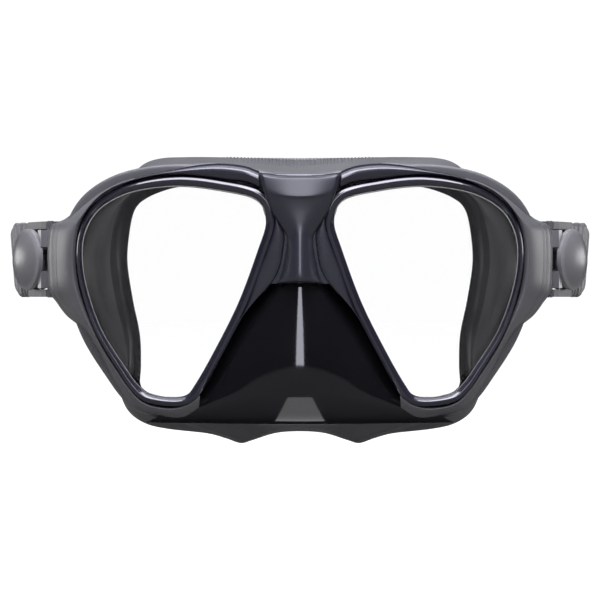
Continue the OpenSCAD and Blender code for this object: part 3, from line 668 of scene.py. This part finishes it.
# share of the way out, to the back and up, lean in degrees and share of the pad's extra width
LOOP_SHARES = [(0, 1, 1, 77, 1), (0.375, 0.958, 0.99, 77, 0.93), (0.70, 0.834, 0.92, 77, 0.5),
               (0.90, 0.651, 0.56, 68, 0.12), (1.0, 0.435, 0.28, 42, 0),
               (1.039, 0.236, 0.115, 18, 0), (1.03, 0.095, 0.02, 4, 0)]
TAIL = [(0, 4.5), (0, 9), (0.1, 13), (-0.3, 17.5)]        # out from the roller and along
TAIL_START = 3.9
RIB_HIGH, RIB_WIDE = 0.38, 2.6
SCALLOP, SCALLOP_PITCH = 1.2, 3.9


def from_buckle(out, along):
    """A point of the buckle's own plane: outwards from the roller and back along the strap."""
    out, along = np.asarray(out, float), np.asarray(along, float)
    return np.stack([ROLLER[0] + out * np.cos(TOE) + along * np.sin(TOE),
                     ROLLER[1] - out * np.sin(TOE) + along * np.cos(TOE),
                     np.full(out.shape, ROLLER[2])], -1)


meet = from_buckle(-WRAP_R, 8)
loop_knots = np.array([(a * ROLLER[0], meet[1] + b * (LOOP_BACK - meet[1]),
                        ROLLER[2] + c * (LOOP_RISE - ROLLER[2]), lean,
                        STRAP_W + pad * (PAD_W - STRAP_W)) for a, b, c, lean, pad in LOOP_SHARES]
                      + [(*meet, 0, STRAP_W)])
whole_loop = np.concatenate([loop_knots[:0:-1] * (-1, 1, 1, 1, 1), loop_knots])
loop = open_curve(whole_loop, 901)[450:]
lead = from_buckle(np.full(12, -WRAP_R), np.linspace(7.4, 0.5, 12))
turn = np.radians(np.linspace(180, 360, 44))
wrap = from_buckle(WRAP_R * np.cos(turn), WRAP_R * np.sin(turn))
leave = from_buckle(np.full(6, WRAP_R), np.linspace(0.6, TAIL_START, 6))
tail = open_curve(TAIL, 44)
tail = from_buckle(WRAP_R + tail[:, 0], tail[:, 1])
centre = np.concatenate([loop[:, :3], lead, wrap, leave, tail])
lean = np.zeros(len(centre))
lean[:len(loop)] = np.radians(loop[:, 3])
width = np.full(len(centre), float(STRAP_W))
width[:len(loop)] = loop[:, 4]
along = np.gradient(centre, axis=0)
along[0] = (1, 0, 0)
along /= np.linalg.norm(along, axis=1)[:, None]
run = np.concatenate([[0], np.cumsum(np.linalg.norm(np.diff(centre, axis=0), axis=1))])
to_end = run[-1] - run
level = np.stack([along[:, 1], -along[:, 0], np.zeros(len(along))], -1)
level /= np.linalg.norm(level, axis=1)[:, None]
across = level * np.sin(lean)[:, None] - np.cross(along, level) * np.cos(lean)[:, None]
across /= np.linalg.norm(across, axis=1)[:, None]
outer = np.cross(along, across)

teeth = np.clip((62 - to_end) / 6, 0, 1)                  # ribs on the last stretch only
scallop = 0.5 + 0.5 * np.cos(2 * np.pi * to_end / SCALLOP_PITCH)
scallop *= np.clip((34 - to_end) / 5, 0, 1)
tab = np.clip((19 - to_end) / 9, 0, 1)
round_end = np.sqrt(np.clip(1 - (1 - np.clip(to_end / 4, 0, 1)) ** 2, 0.05, 1))
width = (width + TAB_W * tab**2 * (3 - 2 * tab) + SCALLOP * scallop) * (0.72 + 0.28 * round_end)
slot = SLOT_HALF * np.sqrt(np.clip(1 - (run / SLOT_REACH) ** 4, 0, 1))
angle = np.linspace(0, 2 * np.pi, 41)[:-1]
side_share = np.sign(np.cos(angle)) * np.abs(np.cos(angle)) ** 0.28
thick_share = np.sign(np.sin(angle)) * np.abs(np.sin(angle)) ** 0.42


def strap_strip(sign):
    """One half of the band's width, from the slot to the edge, with an oblong section that
    swells in ribs across the outer face near the buckle and ends on a slant."""
    middle = sign * (slot + width / 2) / 2
    half = (width / 2 - slot) / 2
    v = middle[:, None] + half[:, None] * side_share[None, :]
    rib = RIB_HIGH * teeth * (0.5 + 0.5 * np.cos(2 * np.pi * to_end / RIB_WIDE))
    t = (STRAP_T / 2 + rib[:, None] * (thick_share[None, :] > 0)) * thick_share[None, :]
    slant = 2.6 * v / 11 * np.clip((20 - to_end) / 16, 0, 1)[:, None] ** 2
    right = (centre[:, None] + across[:, None] * v[..., None] + outer[:, None] * t[..., None]
             + along[:, None] * slant[..., None])
    return np.concatenate([(right * (-1, 1, 1))[:0:-1], right])


strap_silicone = moulded("strap silicone", (0.035, 0.035, 0.038), (0.10, 0.10, 0.105), 0.45,
                         drift=0.15, clouding=0.35, wear=0.25, bump=0.12, grain=1500)
finish_piece(build("split_head_strap", [(strap_strip(1), False, True),
                                        (strap_strip(-1), False, True)]),
             strap_silicone, "strap_set", "strap_silicone", "head_strap")
